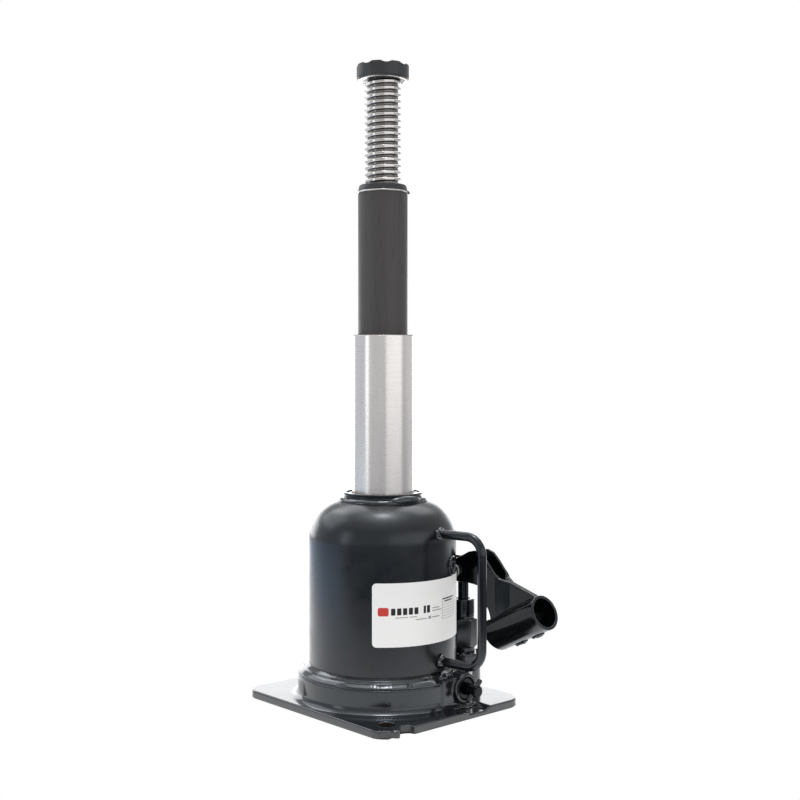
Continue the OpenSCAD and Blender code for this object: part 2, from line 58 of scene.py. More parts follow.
# millimetres, as in part.scad
PUMP = (21.4, 67.0)  # x and y of the pump's axis
VALVE = (21.5, 18.5)  # y and z of the release valve's axis
DELIVERY_RHO = 44  # from the ram axis to the delivery valve, on the line to the pump
SHELL_R = 57.0
SHELL_WALL = 3
SHELL_FOOT_Z = 24.1
SHOULDER_R = 30
SHOULDER_Z = 126.5
SHOULDER_RHO = 27  # from the ram axis to the centre of the shoulder's arc
PIVOT_Z = 97  # height of the lever's two pins

# unit vectors and an angle of the photograph's view, fixed in the world
TO_CAMERA = (0.7402, -0.6723, 0)
LEFT_OF_VIEW = (-0.6723, -0.7402, 0)
CAMERA_TURN = 47.75

ROUNDING_STEPS = 5


# ---------------------------------------------------------------- camera
def make_camera():
    """Level camera, the base's front corner towards it; the shift keeps the verticals upright."""
    data = bpy.data.cameras.new("camera")
    data.sensor_width = 36
    data.lens = 54.88
    data.shift_y = -0.0351
    data.dof.use_dof = False
    camera = bpy.data.objects.new("camera", data)
    camera.location = (0.7110, -0.6278, 0.2551)
    camera.rotation_euler = (math.radians(90), 0, math.radians(CAMERA_TURN))
    bpy.context.scene.collection.objects.link(camera)
    bpy.context.scene.camera = camera


# ---------------------------------------------------------------- materials
class Graph:
    """A node tree under construction, with a few ways to extend it."""

    def __init__(self, tree):
        self.tree = tree

    def node(self, kind, **settings):
        made = self.tree.nodes.new(kind)
        for key, value in settings.items():
            if hasattr(made, key):
                setattr(made, key, value)
            else:
                made.inputs[key.replace("_", " ")].default_value = value
        return made

    def link(self, source, target):
        self.tree.links.new(source, target)

    def split(self, vector):
        made = self.node("ShaderNodeSeparateXYZ")
        self.link(vector, made.inputs[0])
        return made.outputs

    def along(self, vector, direction):
        """How far a vector reaches in a direction."""
        made = self.node("ShaderNodeVectorMath", operation="DOT_PRODUCT")
        self.link(vector, made.inputs[0])
        made.inputs[1].default_value = direction
        return made.outputs["Value"]

    def span(self, source, low, high, smooth=False):
        """0 where source is below low, 1 above high; low may be the larger one."""
        kind = "SMOOTHSTEP" if smooth else "LINEAR"
        made = self.node("ShaderNodeMapRange", interpolation_type=kind, From_Min=low, From_Max=high)
        self.link(source, made.inputs["Value"])
        return made.outputs["Result"]

    def maths(self, operation, first, second=0.0):
        """Math node on sockets or floats."""
        made = self.node("ShaderNodeMath", operation=operation)
        for value, socket in ((first, made.inputs[0]), (second, made.inputs[1])):
            if isinstance(value, float):
                socket.default_value = value
            else:
                self.link(value, socket)
        return made.outputs[0]

    def ramp(self, source, stops):
        """Colour ramp through stops (position, colour or grey level)."""
        made = self.node("ShaderNodeValToRGB")
        ramp = made.color_ramp
        while len(ramp.elements) < len(stops):
            ramp.elements.new(0.5)
        for element, (position, colour) in zip(ramp.elements, stops):
            element.position = position
            grey = isinstance(colour, (int, float))
            element.color = (colour,) * 3 + (1,) if grey else (*colour, 1)
        self.link(source, made.inputs["Fac"])
        return made.outputs["Color"]

    def mix(self, factor, first, second):
        """Colours first and second, mixed by factor; each is a socket or a colour."""
        made = self.node("ShaderNodeMix", data_type="RGBA")
        for value, socket in ((factor, made.inputs[0]), (first, made.inputs[6]), (second, made.inputs[7])):
            if isinstance(value, bpy.types.NodeSocket):
                self.link(value, socket)
            else:
                socket.default_value = value if isinstance(value, (int, float)) else (*value, 1)
        return made.outputs[2]


def shade(colour, factor):
    """A colour made darker or lighter, no channel above 1."""
    return tuple(min(1, factor * c) for c in colour)


class Shader(Graph):
    """A Principled material and the ways its sockets are fed."""

    def __init__(self, name, **inputs):
        self.material = bpy.data.materials.new(name)
        self.material.use_nodes = True
        super().__init__(self.material.node_tree)
        self.bsdf = self.tree.nodes["Principled BSDF"]
        for key, value in inputs.items():
            self.bsdf.inputs[key.replace("_", " ")].default_value = value

    def coords(self, stretch=(1, 1, 1)):
        """Object coordinates, scaled per axis; a piece's are the frame's own metres at rest."""
        place = self.node("ShaderNodeTexCoord")
        mapping = self.node("ShaderNodeMapping", Scale=stretch)
        self.link(place.outputs["Object"], mapping.inputs["Vector"])
        return mapping.outputs["Vector"]

    def noise(self, scale, detail, roughness=0.55, stretch=(1, 1, 1)):
        made = self.node("ShaderNodeTexNoise", Scale=scale, Detail=detail, Roughness=roughness)
        self.link(self.coords(stretch), made.inputs["Vector"])
        return made.outputs["Fac"]

    def height(self, low, high):
        """0 below low, 1 above high, in metres along Z."""
        return self.span(self.split(self.coords())[2], low, high)

    def facing(self, low, high):
        """0 where the surface's own normal has a Z below low, 1 above high."""
        normal = self.node("ShaderNodeNewGeometry").outputs["Normal"]
        return self.span(self.split(normal)[2], low, high)

    def bump(self, *layers):
        """Stacks bump layers, each (height socket, distance in metres, strength)."""
        normal = None
        for height, distance, strength in layers:
            made = self.node("ShaderNodeBump", Distance=distance, Strength=strength)
            self.link(height, made.inputs["Height"])
            if normal is not None:
                self.link(normal, made.inputs["Normal"])
            normal = made.outputs["Normal"]
        self.link(normal, self.bsdf.inputs["Normal"])

    def into(self, source, socket):
        self.link(source, self.bsdf.inputs[socket])


def enamel(name, colour, roughness, peel=0.06, dust=0.5, gloss=0.66, foot=None, walls=None):
    """Glossy sprayed enamel over steel: orange peel, faint cloudiness and specks of dust.

    foot is a lighter colour towards the bottom: painted light, standing in for light bounced up off the bright
    table. walls are the colours of the plate's edge and of steep faces above it; the edge colour is lighter, a
    painted reflection of the bright table.
    """
    s = Shader(name, Specular_IOR_Level=gloss, Specular_Tint=(0.86, 0.93, 1.0, 1.0))
    clouds = s.noise(38, 4)
    base = s.mix(clouds, shade(colour, 0.7), shade(colour, 1.35))
    if foot:
        # painted light: the paint grows lighter towards the bottom, as if lit from the bright table
        base = s.mix(s.height(0.105, 0.02), base, foot)
    if walls:
        edge, body = walls
        # the plate's edge, below 6 mm, is painted lighter: a painted reflection of the bright table
        thin = s.mix(s.height(0.009, 0.006), body, edge)
        mottled = s.mix(s.noise(70, 5, 0.6), thin, shade(body, 0.55))
        base = s.mix(s.facing(0.25, 0.7), mottled, base)
    specks = s.ramp(s.noise(900, 2, 0.7), [(0.68, 0.0), (0.8, dust)])
    s.into(s.mix(specks, base, (0.12, 0.12, 0.12)), "Base Color")
    s.into(s.ramp(s.noise(60, 5), [(0.3, roughness * 0.8), (0.75, roughness * 1.4)]), "Roughness")
    s.bump((s.noise(210, 2, 0.5), 0.0004, peel), (s.noise(14, 2, 0.5), 0.004, 0.05))
    return s.material


def turned_steel(name, colour, roughness, line_scale, line_depth, shaded_grooves=None):
    """Ground or turned bar: fine rings round the axis, soft stains and faint scratches.

    grooves are two radii in metres: inside the first the surface is painted dark, a painted shade in the
    thread's roots; outside the second it keeps its own colour.
    """
    s = Shader(name, Metallic=1.0, Anisotropic=0.65, Anisotropic_Rotation=0.25)
    tangent = s.node("ShaderNodeTangent", direction_type="RADIAL", axis="Z")
    s.into(tangent.outputs["Tangent"], "Tangent")
    rings = s.noise(line_scale, 4, 0.7, stretch=(0.02, 0.02, 1))
    streaks = s.noise(240, 5, 0.65, stretch=(1, 1, 0.03))
    stain = s.noise(26, 5, 0.6, stretch=(1, 1, 0.35))
    base = s.mix(stain, shade(colour, 0.8), shade(colour, 1.1))
    base = s.mix(s.ramp(streaks, [(0.5, 0.0), (0.8, 0.35)]), base, shade(colour, 0.6))
    if shaded_grooves:
        out = s.node("ShaderNodeVectorMath", operation="LENGTH")
        s.link(s.coords((1, 1, 0)), out.inputs[0])
        # painted shade: darker towards the thread's roots, inside the first radius
        base = s.mix(s.span(out.outputs["Value"], *shaded_grooves), (0.2, 0.19, 0.18), base)
    s.into(base, "Base Color")
    s.into(s.ramp(rings, [(0.25, roughness * 0.8), (0.8, roughness * 1.25)]), "Roughness")
    s.bump((rings, 0.0002, line_depth))
    return s.material


def plain_metal(name, colour, roughness):
    """Small machined or stamped part, lightly soiled."""
    s = Shader(name, Metallic=1.0)
    soil = s.noise(130, 5, 0.65)
    s.into(s.mix(soil, shade(colour, 0.7), shade(colour, 1.15)), "Base Color")
    s.into(s.ramp(s.noise(260, 4), [(0.3, roughness * 0.8), (0.8, roughness * 1.3)]), "Roughness")
    s.bump((s.noise(700, 3), 0.0002, 0.1))
    return s.material


def dark_coat(name, low, high, roughness, metallic=0.3):
    """Matt dark conversion coat: grainy, streaked lengthwise, with a few long fine scratches."""
    s = Shader(name, Metallic=metallic, Specular_IOR_Level=0.35)
    grain = s.noise(1500, 3, 0.7)
    streak = s.noise(90, 5, 0.6, stretch=(1, 1, 0.06))
    lines = s.noise(160, 1, 0.4, stretch=(1, 0.6, 0.09))
    scratch = s.ramp(lines, [(0.485, 0.0), (0.5, 0.5), (0.515, 0.0)])
    s.into(s.mix(scratch, s.mix(streak, low, high), shade(low, 0.75)), "Base Color")
    s.into(s.ramp(grain, [(0.3, roughness * 0.88), (0.75, roughness * 1.15)]), "Roughness")
    s.bump((grain, 0.0001, 0.2))
    return s.material


def rubber(name):
    """Black moulded rubber with a fine grain."""
    s = Shader(name, Specular_IOR_Level=0.4)
    s.into(s.mix(s.noise(200, 4), (0.008, 0.008, 0.009), (0.02, 0.02, 0.021)), "Base Color")
    s.into(s.ramp(s.noise(500, 3), [(0.3, 0.3), (0.7, 0.5)]), "Roughness")
    s.bump((s.noise(1200, 3), 0.0002, 0.15))
    return s.material


def film(name, colour, roughness=0.42):
    """Printed vinyl sticker, or its ink."""
    s = Shader(name, Specular_IOR_Level=0.4)
    s.into(s.mix(s.noise(30, 4), shade(colour, 0.97), colour), "Base Color")
    s.into(s.ramp(s.noise(90, 3), [(0.3, roughness * 0.9), (0.7, roughness * 1.15)]), "Roughness")
    s.bump((s.noise(900, 2), 0.0001, 0.05))
    return s.material


MATERIALS = {
    "black_paint": enamel("black_paint", (0.0022, 0.0026, 0.0032), 0.15),
    "ground_steel": turned_steel("ground_steel", (0.86, 0.82, 0.79), 0.27, 2600, 0.05),
    "phosphated_steel": dark_coat("phosphated_steel", (0.078, 0.072, 0.070), (0.10, 0.094, 0.091), 0.5),
    # the thread's roots, inside 12.1 mm, are painted dark as shade
    "thread_steel": turned_steel("thread_steel", (0.68, 0.65, 0.62), 0.2, 3000, 0.03,
                                 shaded_grooves=(0.0121, 0.0137)),
    "dark_steel": dark_coat("dark_steel", (0.045, 0.046, 0.047), (0.072, 0.073, 0.074), 0.34, 0.4),
    "inner_steel": plain_metal("inner_steel", (0.5, 0.5, 0.5), 0.3),
    "copper": plain_metal("copper", (0.62, 0.3, 0.18), 0.35),
    "brass": plain_metal("brass", (0.62, 0.5, 0.25), 0.35),
    "rubber": rubber("rubber"),
    "label_film": film("label_film", (0.97, 0.955, 0.94)),
}
# its foot colour is painted light, lighter low down as if lit from the bright table
SHELL_PAINT = enamel("shell_paint", (0.001, 0.0014, 0.0022), 0.24, peel=0.02, dust=0.1,
                     foot=(0.009, 0.0082, 0.008))
# the first walls colour, on the plate's edge, is a painted reflection of the bright table
CAST_PAINT = enamel("cast_paint", (0.010, 0.012, 0.015), 0.13, peel=0.12, dust=0.7, gloss=0.8,
                    walls=((0.06, 0.055, 0.05), (0.008, 0.0078, 0.008)))
WELD_PAINT = enamel("weld_paint", (0.006, 0.007, 0.008), 0.1, peel=0.12, gloss=1.0)
# near-black and weakly reflecting; on the release gland ring its darkness is painted shade inside the valve's
# mouth
OILY_BLACK_AND_SHADE = enamel("oily_black_and_shade", (0.002, 0.0022, 0.0026), 0.14, peel=0.12, dust=0.2, gloss=0.22)
INK_DARK = film("ink_dark", (0.016, 0.012, 0.013), 0.35)
INK_GREY = film("ink_grey", (0.36, 0.35, 0.35))
INK_RED = film("ink_red", (0.62, 0.05, 0.04), 0.35)
SLOT_OF = {part["node"]: part["material_slot"] for part in frame["record"]["subparts"]}


def dress_cad_nodes():
    """Every CAD node gets its slot's material; its own exact normals stay."""
    for node, slot in SLOT_OF.items():
        data = frame["nodes"][node].data
        data.materials.clear()
        data.materials.append(MATERIALS[slot])


# ---------------------------------------------------------------- mesh making, in millimetres
def piece(mesh, body, stands_for=(), slot="black_paint", material=None, sharp=40):
    """Links a mesh built in millimetres as a piece of the object, named as its mesh is."""
    mesh.transform(Matrix.Scale(MM, 4))
    mesh.shade_smooth()
    mesh.set_sharp_from_angle(angle=math.radians(sharp))
    mesh.materials.clear()
    mesh.materials.append(material or MATERIALS[slot])
    obj = bpy.data.objects.new(mesh.name, mesh)
    bpy.context.scene.collection.objects.link(obj)
    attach(obj, body)
    if stands_for:
        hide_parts(*stands_for)
    return obj


def weld(mesh, body, stands_for=()):
    """A piece of weld bead under the paint."""
    return piece(mesh, body, stands_for, material=WELD_PAINT, sharp=70)


def paint_faces(obj, material, chosen):
    """Gives a second material to the faces picked by chosen(face)."""
    obj.data.materials.append(material)
    for face in obj.data.polygons:
        if chosen(face):
            face.material_index = 1


def mesh_of(name, verts, faces):
    """Mesh with coinciding points joined and its normals outward."""
    mesh = bpy.data.meshes.new(name)
    mesh.from_pydata(verts, [], faces)
    bm = bmesh.new()
    bm.from_mesh(mesh)
    bmesh.ops.remove_doubles(bm, verts=bm.verts, dist=0.0005)
    bmesh.ops.recalc_face_normals(bm, faces=bm.faces)
    bm.to_mesh(mesh)
    bm.free()
    return mesh


def rounded(corners):
    """Outline through corners (a, b, radius), each corner rounded by its own radius."""
    out = []
    count = len(corners)
    for i, (a, b, radius) in enumerate(corners):
        here = Vector((a, b))
        to_last = Vector(corners[i - 1][:2]) - here
        to_next = Vector(corners[(i + 1) % count][:2]) - here
        turn = to_last.angle(to_next, 0) if to_last.length and to_next.length else math.pi
        reach = radius / math.tan(turn / 2) if 0.02 < turn < math.pi - 0.02 else 0
        if radius <= 0 or reach == 0:
            out.append((a, b))
            continue
        start, end = here + to_last.normalized() * reach, here + to_next.normalized() * reach
        inward = (to_last.normalized() + to_next.normalized()).normalized()
        middle = here + inward * radius / math.sin(turn / 2)
        first = start - middle
        sweep = first.angle_signed(end - middle)
        for k in range(ROUNDING_STEPS + 1):
            angle = -sweep * k / ROUNDING_STEPS
            c, s = math.cos(angle), math.sin(angle)
            out.append((middle.x + first.x * c - first.y * s, middle.y + first.x * s + first.y * c))
    return out


def lathe(name, outline, segments, at=None, warp=None):
    """Turns a closed outline of (radius, height) round Z; warp(angle, r, z) may change each point."""
    verts, faces = [], []
    count = len(outline)
    for i in range(segments):
        angle = TAU * i / segments
        for r, z in outline:
            if warp:
                r, z = warp(angle, r, z)
            verts.append((r * math.cos(angle), r * math.sin(angle), z))
    for i in range(segments):
        for j in range(count):
            a, b = i * count, (i + 1) % segments * count
            k = (j + 1) % count
            quad = [a + j, b + j, b + k, a + k]
            if outline[j][0] < 1e-6 and outline[k][0] < 1e-6:
                continue
            if outline[j][0] < 1e-6:
                quad = [a + j, b + k, a + k]
            elif outline[k][0] < 1e-6:
                quad = [a + j, b + j, a + k]
            faces.append(quad)
    mesh = mesh_of(name, verts, faces)
    if at:
        mesh.transform(at)
    return mesh


def tube(name, path, radius, sides):
    """A round rod along a path, capped flat."""
    verts, faces = [], []
    points = [Vector(p) for p in path]
    side = None
    for i, here in enumerate(points):
        along = (points[min(i + 1, len(points) - 1)] - points[max(i - 1, 0)]).normalized()
        side = (along.orthogonal() if side is None else side - along * side.dot(along)).normalized()
        up = along.cross(side)
        for k in range(sides):
            a = TAU * k / sides
            verts.append(here + (side * math.cos(a) + up * math.sin(a)) * radius)
    for i in range(len(points) - 1):
        for k in range(sides):
            m = (k + 1) % sides
            faces.append([i * sides + k, i * sides + m, (i + 1) * sides + m, (i + 1) * sides + k])
    faces.append(list(range(sides))[::-1])
    faces.append([(len(points) - 1) * sides + k for k in range(sides)])
    return mesh_of(name, verts, faces)


def remeshed(name, node, voxel, smooth, keep, prepare=None):
    """A copy of a CAD node as one skin with soft, worn edges, as cast or pressed steel has."""
    bm = bmesh.new()
    bm.from_mesh(frame["nodes"][node].data)
    bmesh.ops.remove_doubles(bm, verts=bm.verts, dist=1e-6)
    if prepare:
        prepare(bm)
    raw = bpy.data.meshes.new(name + "_raw")
    bm.to_mesh(raw)
    bm.free()
    raw.transform(Matrix.Scale(1 / MM, 4))
    return settle(name, raw, voxel, smooth, keep)


def settle(name, raw, voxel, smooth, keep):
    """Voxel remesh, smoothing steps and thinning out to a share keep of the faces, all applied."""
    holder = bpy.data.objects.new(name + "_holder", raw)
    bpy.context.scene.collection.objects.link(holder)
    remesh = holder.modifiers.new("remesh", "REMESH")
    remesh.mode, remesh.voxel_size, remesh.adaptivity = "VOXEL", voxel, 0
    soften = holder.modifiers.new("soften", "SMOOTH")
    soften.factor, soften.iterations = 0.5, smooth
    thin = holder.modifiers.new("thin", "DECIMATE")
    thin.ratio = keep
    ready = holder.evaluated_get(bpy.context.evaluated_depsgraph_get())
    mesh = bpy.data.meshes.new_from_object(ready)
    mesh.name = name
    bpy.data.objects.remove(holder)
    bpy.data.meshes.remove(raw)
    return mesh


def blobs(name, balls, voxel, smooth, rough=0.0, seed=0):
    """One lumpy skin round overlapping balls (x, y, z, radius)."""
    bm = bmesh.new()
    for *centre, radius in balls:
        bmesh.ops.create_icosphere(bm, subdivisions=3, radius=radius, matrix=Matrix.Translation(centre))
    for v in bm.verts:
        v.co += v.co.normalized() * rough * noise.noise(v.co * 0.4 + Vector((seed, 0, 0)))
    raw = bpy.data.meshes.new(name + "_raw")
    bm.to_mesh(raw)
    bm.free()
    return settle(name, raw, voxel, smooth, 0.5)


def polar(angle, r, z=0.0):
    """Point at an angle in degrees and a radius about the ram axis."""
    return (r * math.cos(math.radians(angle)), r * math.sin(math.radians(angle)), z)


# ---------------------------------------------------------------- base and reservoir
def soften_plate_corners(bm):
    """Rounds the upright edges of the plate's cut corners; in metres, as the CAD mesh is."""
    upright = [e for e in bm.edges
               if all(abs(v.co.x) > 0.068 and abs(v.co.y) > 0.058 for v in e.verts)
               and (e.verts[0].co - e.verts[1].co).to_2d().length < 1e-5 and e.calc_length() > 0.004]
    bmesh.ops.bevel(bm, geom=upright, offset=0.0042, segments=5, profile=0.5, affect="EDGES",
                    clamp_overlap=False)


def make_base():
    """Forging with a soft, worn skin; its machined underside is shaded dead flat."""
    skin = remeshed("base_forging", "base", 0.7, 3, 0.3, soften_plate_corners)
    forging = piece(skin, "jack_body", ["base"], material=CAST_PAINT, sharp=60)
    for face in forging.data.polygons:
        if face.normal.z < -0.99:
            face.use_smooth = False


def bead_warp(strength, ripple, seed):
    """Unevenness of a hand-laid weld in millimetres: long swells with fine ripples across the run."""
    def warp(angle, r, z):
        x, y = math.cos(angle), math.sin(angle)
        swell = noise.noise(Vector((x * 3, y * 3, z * 0.12 + seed)))
        lump = noise.noise(Vector((x * 9, y * 9, z * 0.25 + seed + 9)))
        fine = math.sin(angle * ripple + 1.5 * noise.noise(Vector((x * 9, y * 9, seed))))
        grown = strength * (0.8 * swell + 0.5 * lump) + 0.015 * fine
        return r + grown, z + 0.5 * grown
    return warp


def make_base_weld():
    """Fillet weld between boss and shell, rippled and uneven, lapping over the valve block."""
    outline = rounded([(56.2, 24.2, 0), (65.2, 24.1, 0.3), (64.9, 25.6, 0.9), (62.6, 27.3, 0.9),
                       (61.4, 28.0, 1.6), (60.3, 29.6, 1.0), (57.4, 31.2, 0.5), (56.2, 30.9, 0)])
    weld(lathe("base_weld_bead", outline, 720, warp=bead_warp(0.3, 150, 3.0)), "jack_body", ["base_weld"])
    rng = random.Random(5)
    balls = []
    for i in range(13):
        angle = 3 + 2.7 * i
        rho = 61.5 + rng.uniform(-0.8, 0.8)
        balls.append((*polar(angle, rho, 27.4 + rng.uniform(-0.3, 0.5)), rng.uniform(2.0, 3.0)))
    weld(blobs("valve_block_beads", balls, 0.4, 6), "jack_body")


def shoulder_arc(radius, angles):
    """Points (radius, height) on the shell's rounded shoulder, at angles in degrees above level."""
    return [(SHOULDER_RHO + radius * math.cos(a), SHOULDER_Z + radius * math.sin(a))
            for a in map(math.radians, angles)]


def make_shell():
    """Reservoir tank: a straight wall drawn into a rounded shoulder."""
    bore = SHELL_R - SHELL_WALL
    outline = [(SHELL_R, SHELL_FOOT_Z), (SHELL_R, 60), (SHELL_R, 100)]
    outline += shoulder_arc(SHOULDER_R, range(0, 83, 3))
    outline += shoulder_arc(SHOULDER_R - SHELL_WALL, range(80, -1, -4))
    outline += [(bore, 100), (bore, SHELL_FOOT_Z)]

    def oval(angle, r, z):
        return r + 0.04 * math.cos(2 * angle + 1), z
    piece(lathe("shell_skin", outline, 256, warp=oval), "jack_body", ["reservoir_shell"],
          material=SHELL_PAINT, sharp=50)


def make_neck():
    """Neck ring with its lip and groove, the bead below it, and the big run-out lump of that bead."""
    ring = rounded([(28.55, 146.2, 0), (30.9, 146.2, 0.2), (30.9, 159.4, 0.2), (30.2, 159.9, 0.2),
                    (30.2, 160.6, 0.3), (31.05, 161.0, 0.3), (31.05, 162.2, 0.35), (28.55, 162.2, 0.3)])
    piece(lathe("neck_collar", ring, 128), "jack_body", ["neck_ring"])
    bead = [(31.6 + 3.4 * math.cos(a), 155.7 + 2.9 * math.sin(a)) for a in (TAU * k / 24 for k in range(24))]
    weld(lathe("neck_weld_bead", bead, 360, warp=bead_warp(0.25, 90, 7.0)), "jack_body", ["neck_weld"])
    balls = []
    for k in range(21):
        t = k / 20
        swell = math.sin(math.pi * t)
        balls.append((*polar(-28 + 41 * t, 31.9, 157.1 + 0.7 * swell), 2.7 + 1.1 * swell ** 0.6))
    weld(blobs("neck_weld_lump", balls, 0.4, 8), "jack_body")


def make_gland():
    """Gland nut with turned face, bevelled bore and four spanner holes."""
    hole_half_angle, hole_depth = 2.6, 2.2
    outline = rounded([(24.05, 146.1, 0), (28.45, 146.1, 0), (28.45, 161.0, 0.3), (27.0, 161.3, 0.4),
                       (25.6, 161.3, 0.3), (24.5, 160.2, 0.2), (24.05, 159.6, 0)])

    def spanner(angle, r, z):
        for k in range(4):
            off = (math.degrees(angle) + 110 - 90 * k + 180) % 360 - 180
            if abs(off) < hole_half_angle and r > 25.2 and z > 160.8:
                return r, z - hole_depth
        return r, z
    piece(lathe("gland_nut_face", outline, 360, warp=spanner), "jack_body", ["gland_nut"], slot="dark_steel",
          material=MATERIALS["inner_steel"], sharp=35)


def make_filler():
    """Filler plug, painted over: rolled rim, dished centre with a pip, set radially in the shell."""
    outline = rounded([(0, -4, 0), (5.4, -4, 0.3), (5.4, -0.8, 0), (7.2, -0.8, 0.4), (7.4, 0.6, 0.6),
                       (6.2, 1.2, 0.8), (4.4, 0.2, 0.6), (3.2, 0.2, 0.4), (2.6, 0.9, 0.4), (0, 1.0, 0)])
    turn = (Matrix.Rotation(math.radians(25.7), 4, "Z") @ Matrix.Translation((SHELL_R, 0, 108.3))
            @ Matrix.Rotation(math.radians(90), 4, "Y"))

    def uneven(angle, r, z):
        on_rim = r > 4 and z > 0
        return r * (1 + 0.03 * math.sin(3 * angle + 1)), z + (0.2 * math.sin(2 * angle) if on_rim else 0)
    piece(lathe("filler_plug_rubber", outline, 64, turn, uneven), "jack_body", ["filler_plug"], slot="rubber",
          material=WELD_PAINT)


def make_handle():
    """Bent carry rod: straight arms, arced corners, set in the shell with lumps of weld."""
    turn = math.radians(8)
    reach, low, high, bend = 95.0, 38.5, 134.0, 13.5
    rooted = 2.5  # how far the rod's ends go into the shell
    bend_steps = 14
    shoulder = SHOULDER_RHO + math.sqrt(SHOULDER_R ** 2 - (high - SHOULDER_Z) ** 2)
    quarter = [math.pi / 2 * k / bend_steps for k in range(bend_steps + 1)]

    def turned(out, aside):
        return out * math.cos(turn) - aside * math.sin(turn), out * math.sin(turn) + aside * math.cos(turn)

    outer = [(SHELL_R - rooted, low)]
    outer += [(reach - bend + bend * math.sin(a), low + bend - bend * math.cos(a)) for a in quarter]
    outer += [(reach, low + bend + (high - low - 2 * bend) * k / 4) for k in range(1, 4)]
    outer += [(reach - bend + bend * math.cos(a), high - bend + bend * math.sin(a)) for a in quarter]
    outer += [(shoulder - rooted, high)]
    path = []
    for r, z in outer:
        wave = 0.15 * noise.noise(Vector((r * 0.03, z * 0.03, 2)))
        path.append((*turned(r, wave), z))
    piece(tube("carry_rod", path, 3.4, 28), "jack_body", ["carry_handle"], sharp=60)
    welds = (("handle_weld_top", high, shoulder, 0.25, 1, ["handle_welds"]),
             ("handle_weld_foot", low, SHELL_R, 0, 4, []))
    for name, z, wall, lean, seed, stands_for in welds:
        rng = random.Random(seed)
        balls = []
        for k in range(9):
            a = TAU * k / 9
            lift = 3.2 + rng.uniform(-0.5, 0.6)
            up = lift * math.sin(a)
            out = wall + 0.6 + rng.uniform(-0.4, 0.8) - lean * up
            balls.append((*turned(out, lift * math.cos(a)), z + up, rng.uniform(1.7, 2.5)))
        for k in range(4):
            a = TAU * (k + 0.4) / 4
            out = wall + 2.6 + rng.uniform(-0.3, 1.0)
            balls.append((*turned(out, 2.2 * math.cos(a)), z + 2.2 * math.sin(a), rng.uniform(1.6, 2.3)))
        weld(blobs(name, balls, 0.4, 3, 0.4, seed), "jack_body", stands_for)


# ---------------------------------------------------------------- label
def wrapped_patch(bm, r_in, r_out, start, end, low, high, corner=0.0):
    """A closed thin patch on the shell between two angles and two heights, corners rounded."""
    steps = max(4, int(abs(end - start) * 0.8))
    span = math.radians(end - start) * r_out
    marks = {i / steps for i in range(steps + 1)}
    if corner:
        for k in range(7):
            near = corner / span * (1 - math.cos(k * math.pi / 12))
            marks |= {near, 1 - near}
    rows = []
    for t in sorted(marks):
        gap = min(t, 1 - t) * span
        cut = corner - math.sqrt(max(0, corner ** 2 - (corner - gap) ** 2)) if gap < corner else 0
        angle = start + (end - start) * t
        rows.append([bm.verts.new(polar(angle, r, z)) for r, z in
                     ((r_in, low + cut), (r_out, low + cut), (r_out, high - cut), (r_in, high - cut))])
    for a, b in zip(rows, rows[1:]):
        for k in range(4):
            m = (k + 1) % 4
            bm.faces.new([a[k], b[k], b[m], a[m]])
    bm.faces.new(rows[0][::-1])
    bm.faces.new(rows[-1])


def patch_mesh(name, patches, r_in, r_out):
    """Patches (start angle, end angle, low, high, optional corner radius) as one mesh."""
    bm = bmesh.new()
    for patch in patches:
        wrapped_patch(bm, r_in, r_out, *patch)
    bmesh.ops.recalc_face_normals(bm, faces=bm.faces)
    mesh = bpy.data.meshes.new(name)
    bm.to_mesh(mesh)
    bm.free()
    return mesh


def make_label():
    """White sticker with plain marks: a red bar, dark blocks, grey lines and a ruled table."""
    sheet_foot, sheet_top = 56.95, 57.18
    ink_foot, line_top, block_top = 57.1, 57.22, 57.23
    sheet = [(-49.4, 57.4, 53.5, 100.4, 3.2)]
    piece(patch_mesh("label_sheet", sheet, sheet_foot, sheet_top), "jack_body", ["label"], slot="label_film",
          sharp=30)
    blocks = [(-35.4 + 4.5 * k, -32.2 + 4.5 * k, 76.9, 81.9, 0.5) for k in range(5)]
    blocks += [(-9.6, -7.6, 77.0, 82.5, 0.4), (-6.6, -3.8, 77.0, 82.5, 0.4)]
    blocks += [(9.8, 27.4, 84.6, 85.5), (12.5, 24.0, 82.9, 83.6)]
    piece(patch_mesh("label_blocks", blocks, ink_foot, block_top), "jack_body", slot="label_film",
          material=INK_DARK)
    lines = [(-1.4, 6.0, 79.6, 80.3), (-1.4, 8.6, 77.7, 78.4), (-32.4, -22.6, 74.7, 75.3),
             (-21.0, -15.4, 74.8, 75.4), (-16.4, -7.0, 72.6, 73.3), (-5.2, -2.6, 72.3, 74.4),
             (-1.6, 6.2, 72.9, 73.7)]
    lines += [(9.8, 29.2, 70.2 + 2.05 * k, 70.45 + 2.05 * k) for k in range(7)]
    lines += [(9.7, 10.0, 70.2, 84.3), (29.0, 29.3, 70.2, 84.3)]
    piece(patch_mesh("label_lines", lines, ink_foot, line_top), "jack_body", slot="label_film",
          material=INK_GREY)
    bar = [(-45.2, -37.2, 76.4, 82.6, 1.4)]
    piece(patch_mesh("label_bar", bar, ink_foot, block_top), "jack_body", slot="label_film",
          material=INK_RED)


# ---------------------------------------------------------------- pump and valve
AT_PUMP = Matrix.Translation((*PUMP, 0))
AT_VALVE = Matrix.Translation((0, *VALVE)) @ Matrix.Rotation(math.radians(90), 4, "Y")


def hex_radius(angle, corner, turn):
    """Radius of a hexagon with worn corners at an angle."""
    off = (math.degrees(angle) - turn) % 60 - 30
    apothem = corner * math.cos(math.radians(30))
    return min(apothem / math.cos(math.radians(off)), corner * 0.985)


